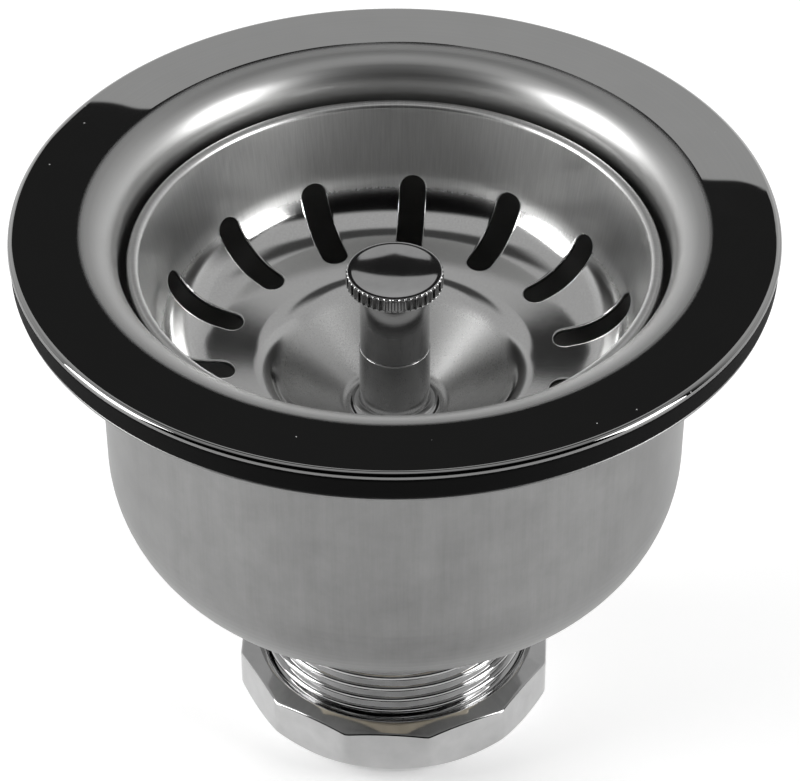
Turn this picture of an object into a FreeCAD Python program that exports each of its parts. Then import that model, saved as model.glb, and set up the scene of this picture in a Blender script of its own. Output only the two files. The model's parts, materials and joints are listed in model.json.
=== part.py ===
import FreeCAD, Part
import os
import re
import Sketcher

# Basket strainer waste for a kitchen sink.
# The drawn bowl hangs from its flange in the sink's hole. A second drawn cup below is pulled
# up against the rubber gasket by a lock nut on the threaded spud, and the twelve-sided coupling
# nut holds the tail pipe. The slotted crumb basket stands on its rubber stopper, which seals
# the outlet until the basket is lifted by its knob.
# Millimetres. +Z is up, the axis of the outlet is Z, and Z = 0 is the lower edge of the flange,
# where it meets the top of the sink.

SIZES = {
    # drawn bowl with its flange
    "flange_radius": 57.15,
    "flange_lip": 0.1,
    "flange_edge_bend": 1.2,
    "flange_width": 15.85,
    "body_sheet": 0.9,
    "shoulder_bend": 5.2,
    "bowl_taper": 0.9,
    "bowl_depth": 52.0,
    "bowl_corner": 14.0,
    # rubber gasket
    "gasket_inset": 0.25,
    "gasket_width": 10.3,
    "gasket_thick": 3.4,
    "gasket_edge": 0.3,
    # drawn outer cup
    "cup_rim_inset": 0.2,
    "cup_sheet": 0.7,
    "cup_rim_bend": 1.6,
    "cup_gap": 2.65,
    "cup_taper": 0.8,
    "cup_drop": 7.37,
    "cup_seat_width": 1.9,
    "cup_hole_gap": 0.35,
    # threaded outlet spud
    "thread_radius": 20.95,
    "spud_length": 34.3,
    "spud_wall": 4.05,
    "seat_step": 0.4,
    "neck_wall": 1.1,
    "lip_width": 2.0,
    "lip_height": 1.0,
    "lip_round": 0.45,
    "ledge_drop": 5.1,
    "thread_chamfer": 0.8,
    # cross bar in the outlet
    "bar_width": 4.0,
    "bar_thick": 2.0,
    "bar_hub_wall": 2.75,
    "bar_hole_gap": 0.75,
    # lock nut under the outer cup
    "lock_nut_sides": 8,
    "lock_nut_wall": 2.05,
    "lock_nut_thick": 4.0,
    "lock_nut_face_width": 1.45,
    "lock_nut_bevel_angle": 20.0,
    "blank_margin": 0.5,
    # coupling nut and the washer in it
    "nut_sides": 12,
    "nut_wall": 3.55,
    "nut_height": 12.0,
    "nut_face_width": 1.35,
    "nut_foot_width": 0.25,
    "nut_bevel_angle": 22.0,
    "nut_foot_angle": 48.0,
    "nut_turn": 12.0,
    "nut_lip": 2.2,
    "nut_lip_width": 4.55,
    "thread_gap": 0.1,
    "tail_washer_thick": 2.5,
    "tail_washer_width": 4.35,
    "tail_washer_gap": 0.1,
    # stopper under the basket
    "seal_gap": 0.2,
    "seal_overlap": 0.6,
    "seal_edge": 1.4,
    "seal_thick": 3.0,
    "seal_slope_width": 8.0,
    "plate_thick": 1.0,
    "stopper_washer_width": 6.0,
    "stopper_washer_thick": 0.8,
    "stem_nut_sides": 6,
    "stem_nut_wall": 2.0,
    "stem_nut_thick": 3.0,
    # stem
    "stem_radius": 3.0,
    "stem_shoulder_width": 2.0,
    "stem_shoulder": 12.6,
    "stem_in_knob": 1.0,
    "stem_tail": 8.0,
    "stem_nose": 2.4,
    "stem_nose_inset": 1.4,
    "catch_drop": 1.2,
    "catch_width": 1.2,
    "catch_grip": 0.55,
    "catch_proud": 0.6,
    "catch_sweep": 310.0,
    "fit_gap": 0.05,
    # crumb basket
    "basket_sheet": 0.7,
    "basket_depth": 29.0,
    "rim_gap": 1.3,
    "rim_bend": 0.85,
    "rim_width": 1.8,
    "rim_lip": 1.7,
    "wall_taper": 3.1,
    "wall_drop": 18.0,
    "wall_bend": 9.5,
    "pan_width": 13.5,
    "pan_drop": 1.74,
    "step_width": 0.9,
    "step_drop": 0.95,
    "step_bend": 1.6,
    "ledge_width": 1.0,
    "ledge_fall": 0.45,
    "floor_margin": 1.0,
    "floor_bend": 2.0,
    # slots round the basket
    "slot_count": 14,
    "slot_width": 4.0,
    "slot_tilt": 35.0,
    "slot_above": 4.2,
    "slot_below": 9.5,
    "slot_punch": 8.0,
    "slot_turn": 8.2,
    # post and knob
    "sleeve_wall": 2.4,
    "sleeve_height": 11.45,
    "sleeve_foot_width": 1.6,
    "sleeve_foot_height": 0.5,
    "sleeve_flare": 1.2,
    "seam_round": 0.2,
    "shank_wall": 2.3,
    "shank_length": 11.9,
    "head_width": 2.05,
    "head_height": 2.4,
    "head_round": 0.45,
    "dish_rim": 0.85,
    "dish_slope_width": 2.5,
    "dish_depth": 0.35,
    "dish_bend": 9.0,
    "knurl_count": 48,
    "knurl_depth": 0.3,
    "knurl_width": 0.6,
    "knob_bore_end": 0.3,
}

# Radii of the clamped pieces, counted in from the flange's edge
BOWL_RADIUS = "(flange_radius - flange_width)"
GASKET_RADIUS = "(flange_radius - gasket_inset)"
GASKET_BORE = f"({GASKET_RADIUS} - gasket_width)"
CUP_RIM_RADIUS = f"({GASKET_RADIUS} - cup_rim_inset)"
CUP_RADIUS = f"({BOWL_RADIUS} + body_sheet + cup_gap)"
CUP_HOLE = "(thread_radius + cup_hole_gap)"
CUP_CORNER = f"({CUP_RADIUS} - cup_taper - {CUP_HOLE} - cup_seat_width)"

# Radii of the outlet and its nuts, counted from the thread
SPUD_BORE = "(thread_radius - spud_wall)"
SEAT_BORE = f"({SPUD_BORE} + seat_step)"
NECK_RADIUS = f"({SEAT_BORE} + neck_wall)"
LIP_RADIUS = f"({NECK_RADIUS} + lip_width)"
SEAL_RADIUS = f"({LIP_RADIUS} + seal_overlap)"
PLATE_RADIUS = f"({SEAL_RADIUS} - seal_slope_width)"
LOCK_NUT_FLATS = "(2 * (thread_radius + lock_nut_wall))"
LOCK_NUT_FACE = "(thread_radius + lock_nut_face_width)"
NUT_FLATS = "(2 * (thread_radius + nut_wall))"
NUT_FACE = "(thread_radius + nut_face_width)"
NUT_FOOT_FACE = "(thread_radius + nut_foot_width)"
NUT_LIP_BORE = "(thread_radius - nut_lip_width)"
TAIL_WASHER_BORE = "(thread_radius - tail_washer_width)"

# Radii of what the stem carries and passes, counted from the stem
STEM_HOLE = "(stem_radius + fit_gap)"
SHOULDER_RADIUS = "(stem_radius + stem_shoulder_width)"
BAR_HOLE = "(stem_radius + bar_hole_gap)"
BAR_HUB_RADIUS = f"({BAR_HOLE} + bar_hub_wall)"
CATCH_INNER = "(stem_radius - catch_grip)"
CATCH_OUTER = "(stem_radius + catch_proud)"
STEM_NUT_FLATS = "(2 * (stem_radius + stem_nut_wall))"
STOPPER_WASHER_RADIUS = "(stem_radius + stopper_washer_width)"
SLEEVE_RADIUS = "(stem_radius + sleeve_wall)"
SLEEVE_FOOT_RADIUS = f"({SLEEVE_RADIUS} + sleeve_foot_width)"
SHANK_RADIUS = "(stem_radius + shank_wall)"
HEAD_RADIUS = f"({SHANK_RADIUS} + head_width)"
DISH_RADIUS = f"({HEAD_RADIUS} - dish_rim)"
DISH_FLOOR = f"({DISH_RADIUS} - dish_slope_width)"

# Radii of the basket, counted in from the bowl
RIM_RADIUS = f"({BOWL_RADIUS} - rim_gap)"
WALL_TOP_RADIUS = f"({RIM_RADIUS} - rim_width)"
WALL_FOOT_RADIUS = f"({WALL_TOP_RADIUS} - wall_taper)"
STEP_RADIUS = f"({WALL_FOOT_RADIUS} - pan_width)"
LEDGE_RADIUS = f"({STEP_RADIUS} - step_width)"
LEDGE_END_RADIUS = f"({LEDGE_RADIUS} - ledge_width)"
STEP_END_RADIUS = f"({LEDGE_END_RADIUS} - step_width)"
FLOOR_RADIUS = f"({SLEEVE_FOOT_RADIUS} + floor_margin)"

# Levels, counted from the lower edge of the flange
FLANGE_TOP = "(flange_edge_bend + flange_lip)"
CUP_RIM_UNDER = "-(gasket_thick + cup_sheet)"
BOWL_FLOOR = "-bowl_depth"
BOWL_UNDER = "-(bowl_depth + body_sheet)"
CUP_FOOT = f"({BOWL_UNDER} - cup_drop)"
SEAT_TOP = f"({BOWL_FLOOR} + lip_height)"
LEDGE = f"({BOWL_UNDER} - ledge_drop)"
BAR_TOP = f"({LEDGE} + bar_thick)"
SPUD_END = f"({BOWL_UNDER} - spud_length)"
TAIL_WASHER_TOP = f"({SPUD_END} - tail_washer_gap)"
NUT_LIP_TOP = f"({TAIL_WASHER_TOP} - tail_washer_thick)"
NUT_FOOT = f"({NUT_LIP_TOP} - nut_lip)"
NUT_TOP = f"({NUT_FOOT} + nut_height)"
LOCK_NUT_FOOT = f"({CUP_FOOT} - lock_nut_thick)"

# Levels of the basket, counted up from the seat that its stopper stands on
SEAL_FOOT = f"({SEAT_TOP} + seal_gap)"
SEAL_TOP = f"({SEAL_FOOT} + seal_thick)"
PLATE_TOP = f"({SEAL_TOP} + plate_thick)"
FLOOR_UNDER = f"({PLATE_TOP} + stem_shoulder)"
FLOOR = f"({FLOOR_UNDER} + basket_sheet)"
RIM_TOP = f"({FLOOR} + basket_depth)"
WALL_FOOT = f"({RIM_TOP} - wall_drop)"
STEP_TOP = f"({WALL_FOOT} - pan_drop)"
LEDGE_TOP = f"({STEP_TOP} - step_drop)"
LEDGE_END = f"({LEDGE_TOP} - ledge_fall)"
STEP_FOOT = f"({LEDGE_END} - step_drop)"
SLEEVE_TOP = f"({FLOOR} + sleeve_height)"
HEAD_FOOT = f"({SLEEVE_TOP} + shank_length)"
KNOB_TOP = f"({HEAD_FOOT} + head_height)"
STEM_TOP = f"({HEAD_FOOT} + stem_in_knob)"
STOPPER_WASHER_FOOT = f"({SEAL_FOOT} - stopper_washer_thick)"
STEM_NUT_FOOT = f"({STOPPER_WASHER_FOOT} - stem_nut_thick)"
CATCH_TOP = f"({LEDGE} - catch_drop)"
CATCH_FOOT = f"({CATCH_TOP} - catch_width)"
STEM_END = f"({LEDGE} - stem_tail)"

UP = FreeCAD.Vector(0, 0, 1)
FORWARD = FreeCAD.Vector(0, -1, 0)
# Turns a drawing so that its x is the radius and its y is the height
UPRIGHT = FreeCAD.Placement(FreeCAD.Vector(), FreeCAD.Rotation(FreeCAD.Vector(1, 0, 0), 90))

doc = FreeCAD.newDocument("basket_strainer_waste")
sheet = doc.addObject("Spreadsheet::Sheet", "dim")
for row, (alias, value) in enumerate(SIZES.items(), start=1):
    sheet.set(f"A{row}", alias.replace("_", " "))
    sheet.set(f"B{row}", str(value))
    sheet.setAlias(f"B{row}", alias)
doc.recompute()


def formula(words):
    """Words of the size table as an expression on its cells."""

    def cell(match):
        word = match.group()
        return f"dim.{word}" if word in SIZES else word

    return re.sub(r"[a-z_]+", cell, words)


def bind(item, prop, words):
    """Tie a property to the size table."""
    item.setExpression(prop, formula(words))


def measure(words):
    """The present value of a formula."""
    return float(sheet.evalExpression(formula(words)))


def constrain(sketch, constraint, words):
    """Add a dimension to a sketch and tie it to the size table."""
    index = sketch.addConstraint(constraint)
    sketch.setExpression(f"Constraints[{index}]", formula(words))


def draw(sketch, corners, closed):
    """Draw an outline of straight runs.

    Each corner is (radius, height) or (radius, height, bend), in words of the size table. A bend
    rounds its corner.
    """
    points = [FreeCAD.Vector(measure(corner[0]), measure(corner[1]), 0) for corner in corners]
    count = len(points)
    runs = count if closed else count - 1
    lines = []
    for index in range(runs):
        segment = Part.LineSegment(points[index], points[(index + 1) % count])
        lines.append(sketch.addGeometry(segment, False))
    for index in range(runs if closed else runs - 1):
        following = (index + 1) % runs
        sketch.addConstraint(Sketcher.Constraint("Coincident", lines[index], 2, lines[following], 1))
    for index, corner in enumerate(corners):
        line, end = (lines[index], 1) if index < runs else (lines[-1], 2)
        across = Sketcher.Constraint("DistanceX", -1, 1, line, end, points[index].x)
        constrain(sketch, across, corner[0])
        upward = Sketcher.Constraint("DistanceY", -1, 1, line, end, points[index].y)
        constrain(sketch, upward, corner[1])
    for index, corner in enumerate(corners):
        if len(corner) < 3:
            continue
        before = lines[(index - 1) % runs]
        after = lines[index]
        near = (points[index - 1] + points[index]) * 0.5
        far = (points[index] + points[(index + 1) % count]) * 0.5
        bend = measure(corner[2])
        sketch.fillet(before, after, near, far, bend, True, True)
        kinds = [type(shape).__name__ for shape in sketch.Geometry]
        arc = max(place for place, kind in enumerate(kinds) if kind == "ArcOfCircle")
        constrain(sketch, Sketcher.Constraint("Radius", arc, bend), corner[2])


def origin_feature(body, role):
    """One of a body's own planes or axes."""
    return next(feature for feature in body.Origin.OriginFeatures if feature.Role == role)


def body_sketch(body, name, plane):
    """An empty sketch on one of a body's own planes."""
    sketch = body.newObject("Sketcher::SketchObject", name)
    sketch.AttachmentSupport = [(origin_feature(body, plane), "")]
    sketch.MapMode = "FlatFace"
    doc.recompute()
    return sketch


def drawn_sheet(label, corners, thickness):
    """A sheet drawn into a round shape: a line with its bends, thickened and spun about Z."""
    line = doc.addObject("Sketcher::SketchObject", f"{label}_line")
    draw(line, corners, closed=False)
    line.Placement = UPRIGHT
    strip = doc.addObject("Part::Offset2D", f"{label}_strip")
    strip.Source = line
    strip.Mode = "Skin"
    strip.Join = "Arc"
    strip.Fill = True
    bind(strip, "Value", thickness)
    drawn = doc.addObject("Part::Revolution", label)
    drawn.Source = strip
    drawn.Axis = UP
    drawn.Base = FreeCAD.Vector()
    drawn.Angle = 360
    drawn.Solid = True
    drawn.Label = label
    doc.recompute()
    return drawn


def turned(label, corners, sweep="360"):
    """A piece turned or moulded round the Z axis from a closed half section."""
    body = doc.addObject("PartDesign::Body", label)
    body.Label = label
    section = body_sketch(body, f"{label}_section", "XZ_Plane")
    draw(section, corners, closed=True)
    spin = body.newObject("PartDesign::Revolution", f"{label}_spin")
    spin.Profile = section
    spin.ReferenceAxis = (section, ["V_Axis"])
    bind(spin, "Angle", sweep)
    doc.recompute()
    return body


def ring(label, inner, outer, foot, top):
    """A plain flat ring."""
    return turned(label, [(inner, foot), (outer, foot), (outer, top), (inner, top)])


def pattern_round(body, feature, count):
    """Repeat a body's feature evenly round Z."""
    pattern = body.newObject("PartDesign::PolarPattern", f"{feature.Name}_round")
    pattern.Originals = [feature]
    pattern.Axis = (origin_feature(body, "Z_Axis"), [""])
    pattern.Angle = 360
    bind(pattern, "Occurrences", count)
    body.Tip = pattern
    doc.recompute()


def corner_radius(sides, flats):
    """Radius to the corners of a nut, from its number of sides and its size across flats."""
    return f"({flats} / 2 / cos(180 deg / {sides}))"


def sided_nut(label, blank, sides, flats, foot, height, turn="0"):
    """A turned nut blank with flats, as the part that it shares with a prism."""
    prism = doc.addObject("Part::Prism", f"{label}_flats")
    bind(prism, "Polygon", sides)
    bind(prism, "Circumradius", corner_radius(sides, flats))
    bind(prism, "Height", height)
    prism.Placement.Rotation = FreeCAD.Rotation(UP, 1)
    bind(prism, "Placement.Rotation.Angle", f"{turn} * 1 deg")
    bind(prism, "Placement.Base.z", foot)
    nut = doc.addObject("Part::Common", label)
    nut.Base = blank
    nut.Tool = prism
    nut.Label = label
    doc.recompute()
    return nut


def make_strainer_body():
    """Bowl and flange, drawn from one sheet, with a hole in its floor for the spud."""
    corners = [
        ("flange_radius", "0"),
        ("flange_radius", FLANGE_TOP, "flange_edge_bend"),
        (BOWL_RADIUS, FLANGE_TOP, "shoulder_bend"),
        (f"{BOWL_RADIUS} - bowl_taper", BOWL_FLOOR, "bowl_corner"),
        (f"{NECK_RADIUS} + fit_gap", BOWL_FLOOR),
    ]
    return drawn_sheet("strainer_body", corners, "body_sheet")


def make_sink_gasket():
    """Flat rubber ring that the outer cup presses up against the sink."""
    corners = [
        (GASKET_BORE, "-gasket_thick"),
        (GASKET_RADIUS, "-gasket_thick", "gasket_edge"),
        (GASKET_RADIUS, "0", "gasket_edge"),
        (GASKET_BORE, "0"),
    ]
    return turned("sink_gasket", corners)


def make_outer_cup():
    """Drawn outer cup with its turned-out rim, open at the bottom for the spud."""
    corners = [
        (CUP_RIM_RADIUS, CUP_RIM_UNDER),
        (CUP_RADIUS, CUP_RIM_UNDER, "cup_rim_bend"),
        (f"{CUP_RADIUS} - cup_taper", CUP_FOOT, CUP_CORNER),
        (CUP_HOLE, CUP_FOOT),
    ]
    return drawn_sheet("outer_cup", corners, "-cup_sheet")


def make_outlet_spud():
    """Threaded outlet tube, its neck rolled over the edge of the bowl's hole as the stopper's seat."""
    corners = [
        (SEAT_BORE, SEAT_TOP, "lip_round"),
        (LIP_RADIUS, SEAT_TOP, "lip_round"),
        (LIP_RADIUS, BOWL_FLOOR),
        (NECK_RADIUS, BOWL_FLOOR),
        (NECK_RADIUS, BOWL_UNDER),
        ("thread_radius", BOWL_UNDER),
        ("thread_radius", f"{SPUD_END} + thread_chamfer"),
        ("thread_radius - thread_chamfer", SPUD_END),
        (SPUD_BORE, SPUD_END),
        (SPUD_BORE, LEDGE),
        (SEAT_BORE, LEDGE),
    ]
    return turned("outlet_spud", corners)


def make_cross_bar():
    """Flat cross on the spud's inner ledge, with a hole that guides the stem."""
    span = f"2 * {SEAT_BORE}"
    arms = []
    for name, length, width in (("bar_along", span, "bar_width"), ("bar_across", "bar_width", span)):
        arm = doc.addObject("Part::Box", name)
        bind(arm, "Length", length)
        bind(arm, "Width", width)
        bind(arm, "Height", "bar_thick")
        bind(arm, "Placement.Base.x", f"-({length}) / 2")
        bind(arm, "Placement.Base.y", f"-({width}) / 2")
        bind(arm, "Placement.Base.z", LEDGE)
        arms.append(arm)
    hub = doc.addObject("Part::Cylinder", "bar_hub")
    bind(hub, "Radius", BAR_HUB_RADIUS)
    bind(hub, "Height", "bar_thick")
    bind(hub, "Placement.Base.z", LEDGE)
    cross = doc.addObject("Part::MultiFuse", "bar_cross")
    cross.Shapes = arms + [hub]
    rim = ring("bar_rim", BAR_HOLE, f"{SEAT_BORE} - fit_gap", LEDGE, BAR_TOP)
    bar = doc.addObject("Part::Common", "cross_bar")
    bar.Base = cross
    bar.Tool = rim
    bar.Label = "cross_bar"
    doc.recompute()
    return bar


def make_lock_nut():
    """Thin nut that draws the outer cup up."""
    bore = "thread_radius + fit_gap"
    edge = f"({corner_radius('lock_nut_sides', LOCK_NUT_FLATS)} + blank_margin)"
    bevel = f"(({edge} - {LOCK_NUT_FACE}) * tan(lock_nut_bevel_angle * 1 deg))"
    corners = [
        (bore, CUP_FOOT),
        (LOCK_NUT_FACE, CUP_FOOT),
        (edge, f"{CUP_FOOT} - {bevel}"),
        (edge, f"{LOCK_NUT_FOOT} + {bevel}"),
        (LOCK_NUT_FACE, LOCK_NUT_FOOT),
        (bore, LOCK_NUT_FOOT),
    ]
    blank = turned("lock_nut_blank", corners)
    return sided_nut("lock_nut", blank, "lock_nut_sides", LOCK_NUT_FLATS, LOCK_NUT_FOOT, "lock_nut_thick")


def make_coupling_nut():
    """Twelve-sided nut with a bevelled top, a tapered foot and a lip that carries the washer."""
    bore = "thread_radius + thread_gap"
    edge = f"({corner_radius('nut_sides', NUT_FLATS)} + blank_margin)"
    bevel = f"(({edge} - {NUT_FACE}) * tan(nut_bevel_angle * 1 deg))"
    taper = f"(({edge} - {NUT_FOOT_FACE}) * tan(nut_foot_angle * 1 deg))"
    corners = [
        (bore, NUT_TOP),
        (NUT_FACE, NUT_TOP),
        (edge, f"{NUT_TOP} - {bevel}"),
        (edge, f"{NUT_FOOT} + {taper}"),
        (NUT_FOOT_FACE, NUT_FOOT),
        (NUT_LIP_BORE, NUT_FOOT),
        (NUT_LIP_BORE, NUT_LIP_TOP),
        (bore, NUT_LIP_TOP),
    ]
    blank = turned("coupling_nut_blank", corners)
    return sided_nut("coupling_nut", blank, "nut_sides", NUT_FLATS, NUT_FOOT, "nut_height", "nut_turn")


def make_tail_washer():
    """Rubber washer that the coupling nut squeezes round the tail pipe."""
    return ring("tailpiece_washer", TAIL_WASHER_BORE, "thread_radius", NUT_LIP_TOP, TAIL_WASHER_TOP)


def make_basket_shell():
    """Crumb basket, drawn from one sheet: rim, wall, pan, stepped cone, and slots round the bend."""
    corners = [
        (RIM_RADIUS, f"{RIM_TOP} - rim_lip"),
        (RIM_RADIUS, RIM_TOP, "rim_bend"),
        (WALL_TOP_RADIUS, RIM_TOP, "rim_bend"),
        (WALL_FOOT_RADIUS, WALL_FOOT, "wall_bend"),
        (STEP_RADIUS, STEP_TOP, "step_bend"),
        (LEDGE_RADIUS, LEDGE_TOP, "step_bend"),
        (LEDGE_END_RADIUS, LEDGE_END, "step_bend"),
        (STEP_END_RADIUS, STEP_FOOT, "step_bend"),
        (FLOOR_RADIUS, FLOOR, "floor_bend"),
        (STEM_HOLE, FLOOR),
    ]
    drawn = drawn_sheet("basket_drawing", corners, "basket_sheet")
    body = doc.addObject("PartDesign::Body", "basket_shell")
    body.Label = "basket_shell"
    body.BaseFeature = drawn
    doc.recompute()
    slot = body_sketch(body, "basket_slot", "XY_Plane")
    slot.AttachmentOffset.Rotation = FreeCAD.Rotation(FORWARD, 1)
    bind(slot, "AttachmentOffset.Base.x", WALL_FOOT_RADIUS)
    bind(slot, "AttachmentOffset.Base.z", WALL_FOOT)
    bind(slot, "AttachmentOffset.Rotation.Angle", "slot_tilt * 1 deg")
    draw_slot(slot, "slot_width", "-slot_below", "slot_above")
    cut = body.newObject("PartDesign::Pocket", "slot_cut")
    cut.Profile = slot
    bind(cut, "Length", "slot_punch")
    solid = body.Shape.Volume
    doc.recompute()
    if body.Shape.Volume > solid - 1:
        cut.Reversed = True
    doc.recompute()
    pattern_round(body, cut, "slot_count")
    body.Placement.Rotation = FreeCAD.Rotation(UP, 1)
    bind(body, "Placement.Rotation.Angle", "slot_turn * 1 deg")
    return body


def draw_slot(sketch, width, start, end):
    """Draw a slot with round ends along the x axis, from a start to an end."""
    radius = measure(width) / 2
    near_place = f"{start} + {width} / 2"
    far_place = f"{end} - {width} / 2"
    near = measure(near_place)
    far = measure(far_place)
    half_turn = FreeCAD.Units.Quantity("180 deg").getValueAs("rad").Value
    near_circle = Part.Circle(FreeCAD.Vector(near, 0, 0), UP, radius)
    far_circle = Part.Circle(FreeCAD.Vector(far, 0, 0), UP, radius)
    near_arc = Part.ArcOfCircle(near_circle, half_turn / 2, half_turn * 3 / 2)
    far_arc = Part.ArcOfCircle(far_circle, -half_turn / 2, half_turn / 2)
    near_end = sketch.addGeometry(near_arc, False)
    far_end = sketch.addGeometry(far_arc, False)
    lower = (FreeCAD.Vector(near, -radius, 0), FreeCAD.Vector(far, -radius, 0))
    upper = (FreeCAD.Vector(far, radius, 0), FreeCAD.Vector(near, radius, 0))
    lower_side = sketch.addGeometry(Part.LineSegment(*lower), False)
    upper_side = sketch.addGeometry(Part.LineSegment(*upper), False)
    joins = [
        (near_end, 2, lower_side, 1),
        (lower_side, 2, far_end, 1),
        (far_end, 2, upper_side, 1),
        (upper_side, 2, near_end, 1),
    ]
    for join in joins:
        sketch.addConstraint(Sketcher.Constraint("Tangent", *join))
    for arc in (near_end, far_end):
        sketch.addConstraint(Sketcher.Constraint("PointOnObject", arc, 3, -1))
    constrain(sketch, Sketcher.Constraint("Radius", near_end, radius), f"{width} / 2")
    constrain(sketch, Sketcher.Constraint("DistanceX", -1, 1, near_end, 3, near), near_place)
    constrain(sketch, Sketcher.Constraint("DistanceX", -1, 1, far_end, 3, far), far_place)


def make_post_sleeve():
    """Turned spacer with a flared foot, clamped between the basket's floor and the knob."""
    corners = [
        (STEM_HOLE, FLOOR),
        (SLEEVE_FOOT_RADIUS, FLOOR),
        (SLEEVE_FOOT_RADIUS, f"{FLOOR} + sleeve_foot_height"),
        (SLEEVE_RADIUS, f"{FLOOR} + sleeve_foot_height", "sleeve_flare"),
        (SLEEVE_RADIUS, SLEEVE_TOP, "seam_round"),
        (STEM_HOLE, SLEEVE_TOP),
    ]
    return turned("post_sleeve", corners)


def make_knob():
    """Knurled knob with its long shank, dished on top and bored for the stem."""
    corners = [
        ("0", f"{KNOB_TOP} - dish_depth"),
        (DISH_FLOOR, f"{KNOB_TOP} - dish_depth", "dish_bend"),
        (DISH_RADIUS, KNOB_TOP),
        (HEAD_RADIUS, KNOB_TOP, "head_round"),
        (HEAD_RADIUS, HEAD_FOOT),
        (SHANK_RADIUS, HEAD_FOOT),
        (SHANK_RADIUS, SLEEVE_TOP, "seam_round"),
        (STEM_HOLE, SLEEVE_TOP),
        (STEM_HOLE, f"{STEM_TOP} + knob_bore_end"),
        ("0", f"{STEM_TOP} + knob_bore_end"),
    ]
    body = turned("knob", corners)
    notch = body_sketch(body, "knob_notch", "XY_Plane")
    draw(
        notch,
        [
            (f"{HEAD_RADIUS} - knurl_depth", "0"),
            (f"{HEAD_RADIUS} + knurl_depth", "-knurl_width"),
            (f"{HEAD_RADIUS} + knurl_depth", "knurl_width"),
        ],
        closed=True,
    )
    cut = body.newObject("PartDesign::Pocket", "knurl_cut")
    cut.Profile = notch
    bind(cut, "Length", f"-{HEAD_FOOT}")
    solid = body.Shape.Volume
    doc.recompute()
    if body.Shape.Volume > solid - 0.01:
        cut.Reversed = True
    doc.recompute()
    pattern_round(body, cut, "knurl_count")
    return body


def make_stem():
    """Turned stem: upper stud in the knob, shoulder under the basket, tail through the cross bar."""
    corners = [
        ("0", STEM_END),
        ("stem_radius - stem_nose_inset", STEM_END),
        ("stem_radius", f"{STEM_END} + stem_nose"),
        ("stem_radius", CATCH_FOOT),
        (f"{CATCH_INNER} - fit_gap", CATCH_FOOT),
        (f"{CATCH_INNER} - fit_gap", CATCH_TOP),
        ("stem_radius", CATCH_TOP),
        ("stem_radius", PLATE_TOP),
        (SHOULDER_RADIUS, PLATE_TOP),
        (SHOULDER_RADIUS, FLOOR_UNDER),
        ("stem_radius", FLOOR_UNDER),
        ("stem_radius", STEM_TOP),
        ("0", STEM_TOP),
    ]
    return turned("stem", corners)


def make_stopper():
    """Rubber seal held between a plate above and a washer with a nut below."""
    seal = turned(
        "stopper_seal",
        [
            (STEM_HOLE, SEAL_FOOT),
            (SEAL_RADIUS, SEAL_FOOT, "gasket_edge"),
            (SEAL_RADIUS, f"{SEAL_FOOT} + seal_edge", "gasket_edge"),
            (PLATE_RADIUS, SEAL_TOP),
            (STEM_HOLE, SEAL_TOP),
        ],
    )
    plate = ring("stopper_plate", STEM_HOLE, PLATE_RADIUS, SEAL_TOP, PLATE_TOP)
    washer = ring(
        "stopper_washer", STEM_HOLE, STOPPER_WASHER_RADIUS, STOPPER_WASHER_FOOT, SEAL_FOOT
    )
    blank = ring("stem_nut_blank", STEM_HOLE, STEM_NUT_FLATS, STEM_NUT_FOOT, STOPPER_WASHER_FOOT)
    nut = sided_nut("stem_nut", blank, "stem_nut_sides", STEM_NUT_FLATS, STEM_NUT_FOOT, "stem_nut_thick")
    return [seal, plate, washer, nut]


def make_spring_catch():
    """Split spring ring in the stem's groove, shown squeezed to pass the cross bar."""
    corners = [
        (CATCH_INNER, CATCH_FOOT),
        (CATCH_OUTER, CATCH_FOOT),
        (CATCH_OUTER, CATCH_TOP),
        (CATCH_INNER, CATCH_TOP),
    ]
    return turned("spring_catch", corners, "catch_sweep")


pieces = [
    make_strainer_body(),
    make_sink_gasket(),
    make_outer_cup(),
    make_outlet_spud(),
    make_cross_bar(),
    make_lock_nut(),
    make_coupling_nut(),
    make_tail_washer(),
    make_basket_shell(),
    make_post_sleeve(),
    make_knob(),
    make_stem(),
    make_spring_catch(),
] + make_stopper()
doc.recompute()

for item in doc.Objects:
    if "Invalid" in item.State or "Error" in item.State:
        raise RuntimeError(f"{item.Label} did not rebuild")
for piece in pieces:
    if piece.Shape.isNull() or not piece.Shape.isValid():
        raise RuntimeError(f"{piece.Label} has no valid shape")

os.makedirs("parts", exist_ok=True)
for piece in pieces:
    piece.Shape.exportStep(f"parts/{piece.Label}.step")
    box = piece.Shape.BoundBox
    print(
        f"{piece.Label}: {len(piece.Shape.Solids)} solid, {piece.Shape.Volume:.1f} mm3,"
        f" z {box.ZMin:.2f} to {box.ZMax:.2f}, x {box.XMin:.2f} to {box.XMax:.2f}"
    )
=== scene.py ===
# %% [markdown]
# # A basket strainer waste
#
# This is the fitting in the bottom of a kitchen sink: a drawn steel bowl with a wide flange, a
# rubber gasket and an outer cup that clamp it in the sink's hole, a threaded outlet with its
# coupling nut, and a slotted basket that lifts out by a knurled knob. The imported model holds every
# piece at its true size. It is loaded first, and everything below takes its place from it.

# %% Load the frame
import json
import math

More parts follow.
